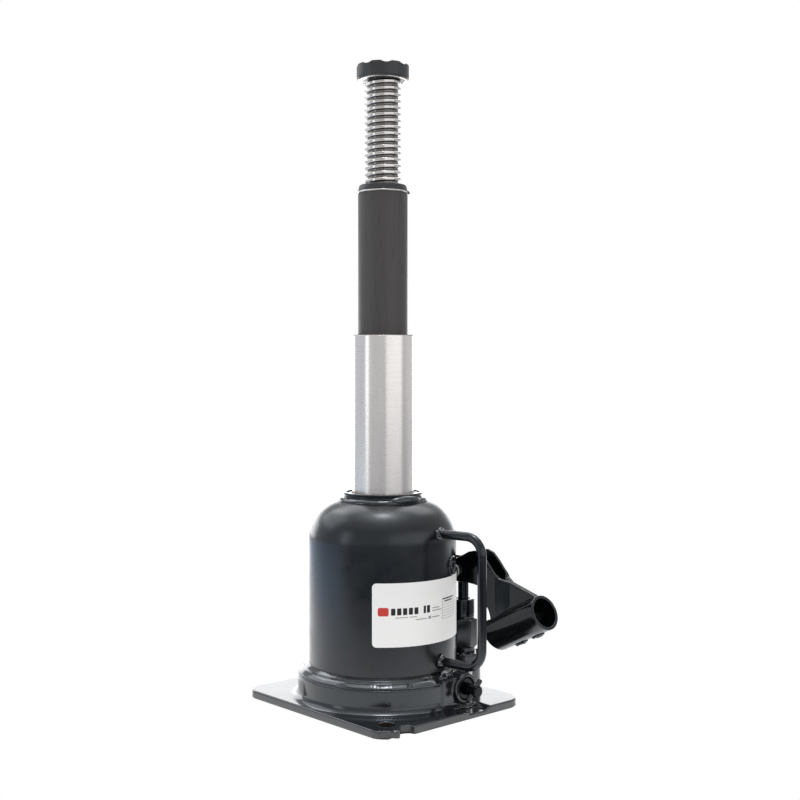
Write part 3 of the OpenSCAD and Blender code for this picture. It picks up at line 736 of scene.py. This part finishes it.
def make_pump():
    """Pump body: threaded foot and chamfered hexagon, with the round packing nut above."""
    corner, turn = 11.3, -14.25
    flat = corner * math.cos(math.radians(30))
    low, high = 35.5, 58.5
    face, flank = 55, 65  # stand in the outline for the hexagon's end faces and its flanks

    def hexagon(angle, r, z):
        if r == face:
            return flat - 0.25, z
        if r == flank:
            out = hex_radius(angle, corner, turn)
            drop = (out - flat) * 0.75
            return out, (z - drop - 0.3 if z == high else z + drop + 0.3)
        return r, z
    outline = [(4.4, 22), (7.9, 22), (7.9, 32.9), (9.1, 32.9), (9.4, 33.2), (9.4, low), (face, low),
               (flank, low), (flank, high), (face, high), (6.4, high), (6.4, 67.9), (4.4, 67.9)]
    piece(lathe("pump_hexagon", outline, 192, AT_PUMP, hexagon), "jack_body", ["pump_cylinder"], sharp=24)
    nut = rounded([(4.42, 71.1, 0), (6.5, 71.0, 0), (6.5, 58.6, 0), (8.7, 58.6, 0.4), (9.0, 60.2, 0.5),
                   (8.9, 61.2, 0.3), (9.0, 62.0, 0.3), (9.0, 73.8, 0.9), (6.0, 73.8, 0.4), (5.4, 73.2, 0.2),
                   (4.42, 73.2, 0)])
    piece(lathe("packing_nut_cap", nut, 96, AT_PUMP), "jack_body", ["packing_nut"], sharp=35)
    washer = rounded([(8.02, 31.55, 0), (9.3, 31.55, 0.2), (9.3, 32.95, 0.2), (8.02, 32.95, 0)])
    piece(lathe("pump_washer_ring", washer, 96, AT_PUMP), "jack_body", ["pump_washer"])
    spots = []
    rng = random.Random(11)
    for k in range(11):
        a = math.radians(-150 + 22 * k + rng.uniform(-6, 6))
        rho = 11.6 + rng.uniform(-0.5, 0.9)
        spots.append((PUMP[0] + rho * math.cos(a), PUMP[1] + rho * math.sin(a), 31.4, rng.uniform(0.9, 1.7)))
    weld(blobs("pump_boss_spatter", spots, 0.3, 2, 0.3, 3), "jack_body")


def make_plunger():
    """Plunger: painted rod and soft-edged eye that takes the lever's pin."""
    piece(remeshed("plunger_rod", "plunger", 0.3, 3, 0.4), "plunger", ["plunger"],
          material=MATERIALS["black_paint"], slot="dark_steel", sharp=50)


def make_valve():
    """Release valve: collared rod with a chamfered end, T-pin with rounded ends, and the gland ring."""
    rod = rounded([(0, 46, 0), (2.6, 46, 0.2), (3.0, 46.6, 0.2), (3.0, 58.5, 0), (5.9, 58.5, 0.3),
                   (5.9, 60.9, 0.2), (4.6, 61.0, 0), (4.6, 62.8, 0), (5.9, 62.9, 0.2), (5.9, 64.75, 0.3),
                   (4.4, 64.85, 0.1), (4.4, 82.4, 0.8), (3.4, 83.0, 0.5), (0, 83.0, 0)])
    piece(lathe("release_rod", rod, 64, AT_VALVE), "release_valve", ["release_valve"], slot="dark_steel",
          material=OILY_BLACK_AND_SHADE, sharp=40)
    lie = Matrix.Translation((78, *VALVE)) @ Matrix.Rotation(math.radians(-45), 4, "X")
    pin = rounded([(0, -9.75, 0), (1.9, -9.75, 0.9), (1.9, 9.75, 0.9), (0, 9.75, 0)])
    piece(lathe("release_t_bar", pin, 32, lie), "release_valve", ["release_t_pin"], slot="dark_steel",
          material=MATERIALS["black_paint"])
    nut = rounded([(4.5, 67.1, 0), (8.3, 67.1, 0), (8.3, 69.2, 0.4), (7.4, 69.6, 0.3), (4.5, 69.6, 0.3)])
    # the gland ring is made near-black: painted shade inside the valve's mouth
    piece(lathe("release_gland_ring", nut, 72, AT_VALVE), "jack_body", ["release_gland_nut"],
          slot="dark_steel", material=OILY_BLACK_AND_SHADE)


def make_valve_spring():
    """Coil spring under the delivery ball."""
    x, y, _ = polar(math.degrees(math.atan2(PUMP[1], PUMP[0])), DELIVERY_RHO)
    coils, low, high, count = 4, 4.4, 7.5, 96
    coil_r, wire_r = 2.2, 0.36
    path = []
    for k in range(count + 1):
        t = k / count
        climb = min(1, max(0, (t - 0.12) / 0.76))
        around_x, around_y, _ = polar(360 * coils * t, coil_r)
        path.append((x + around_x, y + around_y, low + (high - low) * climb))
    coil = piece(tube("delivery_coil", path, wire_r, 10), "jack_body", ["delivery_spring"], slot="inner_steel")
    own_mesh(coil)


# ---------------------------------------------------------------- lever
def make_lever():
    """Two pressed halves with rolled edges, welded tabs under the socket, and their pins."""
    for node in ("lever_near_half", "lever_far_half"):
        name = node.replace("half", "pressing")
        piece(remeshed(name, node, 0.42, 3, 0.25), "lever", [node], sharp=60)
    slope = math.radians(25.8)
    axis = Vector((math.cos(slope), 0, math.sin(slope)))
    down = Vector((math.sin(slope), 0, -math.cos(slope)))
    socket_start = Vector((56.3, PUMP[1], 50))
    rng = random.Random(2)
    balls = []
    length, last = 10, 7
    for start in (20, 38):
        for k in range(last + 1):
            s = start + length * k / last
            size = 1.6 + 0.4 * math.sin(math.pi * k / last) + rng.uniform(-0.2, 0.2)
            c = socket_start + axis * s + down * (13.2 + rng.uniform(-0.2, 0.2))
            balls.append((c.x, c.y + rng.uniform(-0.3, 0.3), c.z, size))
    weld(blobs("lever_seam_tacks", balls, 0.35, 4), "lever", ["lever_welds"])
    pins = (("pivot_pin", -1.0, [(0, -9.4, 0), (5.0, -9.4, 0.6), (5.0, 8.05, 0), (7.5, 8.05, 0.3),
                                 (7.5, 10.5, 0.9), (0, 10.5, 0)]),
            ("plunger_pin", PUMP[0], [(0, -10.5, 0), (5.0, -10.5, 0.9), (5.0, -8.05, 0.3), (3.0, -8.05, 0),
                                      (3.0, 10.4, 0.6), (0, 10.4, 0)]))
    for node, x, outline in pins:
        name = node + "_turned"
        lie = Matrix.Translation((x, PUMP[1], PIVOT_Z)) @ Matrix.Rotation(math.radians(-90), 4, "X")
        piece(lathe(name, rounded(outline), 48, lie), "lever", [node], slot="inner_steel")


def make_bracket():
    """Pivot bracket, and the beads above and below it on the shell."""
    piece(remeshed("bracket_block", "pivot_bracket", 0.5, 3, 0.3), "jack_body", ["pivot_bracket"],
          material=CAST_PAINT, sharp=60)
    rng = random.Random(8)
    balls = []
    for z in (85.2, 108.8):
        for k in range(9):
            x = -29.5 + 14 * k / 8
            y = math.sqrt(SHELL_R ** 2 - x ** 2) + 0.6
            balls.append((x, y + rng.uniform(-0.3, 0.3), z + rng.uniform(-0.3, 0.3), rng.uniform(2.0, 2.7)))
    weld(blobs("bracket_weld_beads", balls, 0.45, 4), "jack_body", ["bracket_weld"])


# ---------------------------------------------------------------- rams, screw and saddle
def make_rams():
    """Bright first ram and dark second ram, each with a grooved piston and its top darker; on the first,
    painted shade.
    """
    first_top, second_top = 0.2831, 0.3948  # metres, above which the tops are darker; on the first ram that is painted shade
    first = rounded([(21, 133.7, 0), (25.9, 133.7, 0.3), (25.9, 137.2, 0), (24.25, 137.2, 0),
                     (24.25, 142.1, 0), (25.9, 142.1, 0), (25.9, 145.6, 0.4), (24, 145.6, 0),
                     (24, 283.0, 0.3), (23.3, 283.7, 0.3), (21.3, 283.7, 0.2), (21, 283.4, 0)])
    bright = piece(lathe("first_ram_bar", first, 192), "first_ram", ["first_ram"], slot="ground_steel",
                   sharp=35)
    # the first ram's top chamfer takes the darker finish: a painted shade along its top edge
    paint_faces(bright, MATERIALS["phosphated_steel"], lambda face: face.center.z > first_top)
    second = rounded([(16, 257.8, 0), (20.9, 257.8, 0.3), (20.9, 261.3, 0), (19.5, 261.3, 0),
                      (19.5, 266.2, 0), (20.9, 266.2, 0), (20.9, 269.6, 0.3), (19.25, 269.6, 0),
                      (19.25, 393.6, 0.15), (18.5, 393.7, 0), (18.5, 394.9, 0), (19.25, 395.0, 0.15),
                      (19.2, 395.9, 0.4), (18.3, 399.4, 0.5), (17.6, 400, 0.4), (15.1, 400, 0.4),
                      (14.05, 399.0, 0.2), (14.05, 376.5, 0), (16, 376.5, 0)])
    dark = piece(lathe("second_ram_bar", second, 160), "second_ram", ["second_ram"], slot="phosphated_steel",
                 sharp=30)
    paint_faces(dark, MATERIALS["dark_steel"], lambda face: face.center.z > second_top)


def make_snap_ring():
    """Round-wire snap ring, its gap with two eared ends at the right of the photograph's view."""
    start, sweep, steps = 48, 348, 90
    path = [polar(start + sweep * k / steps, 19.35, 394.3) for k in range(steps + 1)]
    piece(tube("snap_wire", path, 0.62, 10), "second_ram", ["snap_ring"], slot="dark_steel",
          material=MATERIALS["thread_steel"])
    balls = [(*polar(49, 20.2, 394.2), 0.9), (*polar(46.5, 19.9, 394.3), 0.8), (*polar(36, 20.1, 394.3), 0.9),
             (*polar(38.5, 19.9, 394.3), 0.8)]
    piece(blobs("snap_ears", balls, 0.2, 2), "second_ram", slot="dark_steel", material=MATERIALS["rubber"])


def make_screw():
    """Trapezoidal right-hand thread as one helical skin on its core."""
    pitch, crest, root = 5.0, 14.0, 12.1
    low, high = 376.6, 483.0
    sunk = 0.12  # how far the run-outs end inside the core
    # (share of the pitch, share of the thread's depth)
    section = [(0.0, 0.0), (0.1, 0.0), (0.14, 0.06), (0.26, 0.9), (0.31, 1.0), (0.62, 1.0), (0.67, 0.9),
               (0.79, 0.06), (0.83, 0.0), (1.0, 0.0)]
    per_turn, count = 72, len(section)
    steps = int((high - low) / pitch * per_turn) - per_turn
    rise, fall = 30, 12  # steps over which the thread's two ends run out
    verts, faces = [], []
    for i in range(steps + 1):
        angle = TAU * i / per_turn
        fade = min(1, i / rise, (steps - i) / fall)
        for p, h in section:
            r = root - sunk + (sunk + h * (crest - root)) * max(0, fade)
            verts.append((r * math.cos(angle), r * math.sin(angle), low + pitch * (i / per_turn + p)))
    for i in range(steps):
        for j in range(count - 1):
            a, b = i * count + j, (i + 1) * count + j
            faces.append([a, b, b + 1, a + 1])
    helix = mesh_of("helix", verts, faces)
    core = lathe("core", rounded([(0, 369.3, 0), (7.9, 369.3, 0.4), (7.9, 376.3, 0), (12.03, 376.3, 0.5),
                                  (12.03, 481, 0), (9, 481, 0), (9, 487, 0.3), (0, 487, 0)]), 96)
    bm = bmesh.new()
    bm.from_mesh(helix)
    bm.from_mesh(core)
    mesh = bpy.data.meshes.new("screw_thread")
    bm.to_mesh(mesh)
    bm.free()
    for spare in (helix, core):
        bpy.data.meshes.remove(spare)
    piece(mesh, "screw", ["extension_screw"], slot="thread_steel", sharp=30)


def make_saddle():
    """Crowned saddle, bright under its rim; next to the thread the underside stays dark, a painted shade."""
    crown = piece(remeshed("saddle_crown", "saddle", 0.32, 5, 0.35), "screw", ["saddle"], slot="dark_steel",
                  sharp=60)

    def under_rim(face):
        # only the underside outside 15.2 mm goes bright; inside it stays dark, a painted shade where the
        # thread meets the saddle
        return face.normal.z < -0.75 and face.center.z < 0.4825 and face.center.xy.length > 0.0152
    paint_faces(crown, MATERIALS["ground_steel"], under_rim)


# ---------------------------------------------------------------- stage
def area_light(name, place, aim, size, power, colour=(1, 1, 1)):
    """Soft box of (width, height) metres and power watts, not seen by the camera itself."""
    data = bpy.data.lights.new(name, "AREA")
    data.shape = "RECTANGLE"
    data.size, data.size_y = size
    data.energy = power
    data.color = colour
    light = bpy.data.objects.new(name, data)
    light.location = place
    light.rotation_euler = (Vector(aim) - Vector(place)).to_track_quat("-Z", "Y").to_euler()
    light.visible_camera = False
    bpy.context.scene.collection.objects.link(light)


def around(bearing, distance, height):
    """Point at a bearing about the ram axis: 0 is towards the camera, 90 to the right of its view. Metres."""
    angle = math.radians(bearing - 90 + CAMERA_TURN)
    return (distance * math.cos(angle), distance * math.sin(angle), height)


def white_to_camera(graph, colour):
    """The colour for light and reflections, plain white for what the camera sees directly."""
    seen = graph.node("ShaderNodeLightPath").outputs["Is Camera Ray"]
    return graph.mix(seen, colour, (1, 1, 1))


def make_world():
    """White studio room: soft ceiling, bluer to the left; plain white to the camera."""
    world = bpy.data.worlds.new("studio")
    bpy.context.scene.world = world
    world.use_nodes = True
    g = Graph(world.node_tree)
    direction = g.node("ShaderNodeTexCoord").outputs["Generated"]
    ceiling = g.ramp(g.split(direction)[2], [(0.0, (0.74, 0.745, 0.76)), (0.25, (0.6, 0.61, 0.63)),
                                             (0.6, 0.56), (0.88, 0.95), (0.97, 2.2)])
    left = g.span(g.along(direction, LEFT_OF_VIEW), 0.72, 0.99, smooth=True)
    room = g.mix(left, ceiling, (0.58, 0.62, 0.68))
    g.link(white_to_camera(g, room), g.tree.nodes["Background"].inputs["Color"])


def make_floor():
    """Endless white table, lit from behind, shaded in front, to the right and under the base plate.

    It lies half a millimetre low, clear of the plate's underside.
    """
    size, level = 30, -0.0005
    mesh = bpy.data.meshes.new("floor")
    corners = [(-size, -size, level), (size, -size, level), (size, size, level), (-size, size, level)]
    mesh.from_pydata(corners, [], [(0, 1, 2, 3)])
    floor = bpy.data.objects.new("floor", mesh)
    bpy.context.scene.collection.objects.link(floor)
    s = Shader("floor", Base_Color=(0, 0, 0, 1), Specular_IOR_Level=0.0, Emission_Strength=1.0)
    place = s.coords()
    towards = s.along(place, TO_CAMERA)
    across = s.along(place, LEFT_OF_VIEW)
    near = s.mix(s.span(towards, 0.3, -0.1, smooth=True), (1.02, 1.02, 1.02), (1.5, 1.5, 1.5))
    left = s.span(across, 0.25, 0.6, smooth=True)
    bright = s.mix(left, near, (0.85, 1.07, 1.4))
    table = s.mix(s.span(towards, 0.27, 0.38, smooth=True), bright, (0.1, 0.125, 0.16))
    distance = s.node("ShaderNodeVectorMath", operation="LENGTH")
    s.link(place, distance.inputs[0])
    lit = s.mix(s.span(distance.outputs["Value"], 0.9, 1.15, smooth=True), table, (0.5, 0.51, 0.53))
    right = s.maths("MULTIPLY", s.span(across, -0.15, -0.35, smooth=True),
                    s.span(towards, -0.5, -0.25, smooth=True))
    lit = s.mix(right, lit, (0.28, 0.29, 0.31))
    x, y, _ = s.split(place)
    under = s.maths("MULTIPLY", s.span(s.maths("ABSOLUTE", x), 0.086, 0.078),
                    s.span(s.maths("ABSOLUTE", y), 0.074, 0.066))
    shaded = s.mix(under, lit, (0.03, 0.03, 0.03))
    s.into(white_to_camera(s, shaded), "Emission Color")
    floor.data.materials.append(s.material)


def make_stage():
    """Room, table, six soft boxes and a plain view transform."""
    make_world()
    make_floor()
    aim = (0, 0, 0.2)
    area_light("key_right", around(44, 2.2, 0.62), aim, (2.8, 1.2), 6.6)
    area_light("key_left", around(-60, 2.2, 0.62), aim, (0.5, 1.2), 2.3, (0.97, 0.99, 1.0))
    area_light("overhead", around(20, 0.1, 2.4), (0, 0, 0), (0.5, 0.5), 9)
    area_light("back_high", around(180, 1.3, 1.95), aim, (3.0, 1.3), 21)
    area_light("left_high", around(-118, 1.5, 1.3), aim, (1.5, 1.1), 6.5, (0.94, 0.97, 1.0))
    area_light("backdrop", around(188, 1.3, 0.26), (0, 0, 0.26), (2.3, 0.5), 8.7)
    scene = bpy.context.scene
    scene.view_settings.view_transform = "Standard"
    scene.view_settings.look = "None"


make_camera()
make_stage()
dress_cad_nodes()
make_base()
make_base_weld()
make_shell()
make_neck()
make_gland()
make_filler()
make_handle()
make_label()
make_pump()
make_plunger()
make_valve()
make_valve_spring()
make_lever()
make_bracket()
make_rams()
make_snap_ring()
make_screw()
make_saddle()
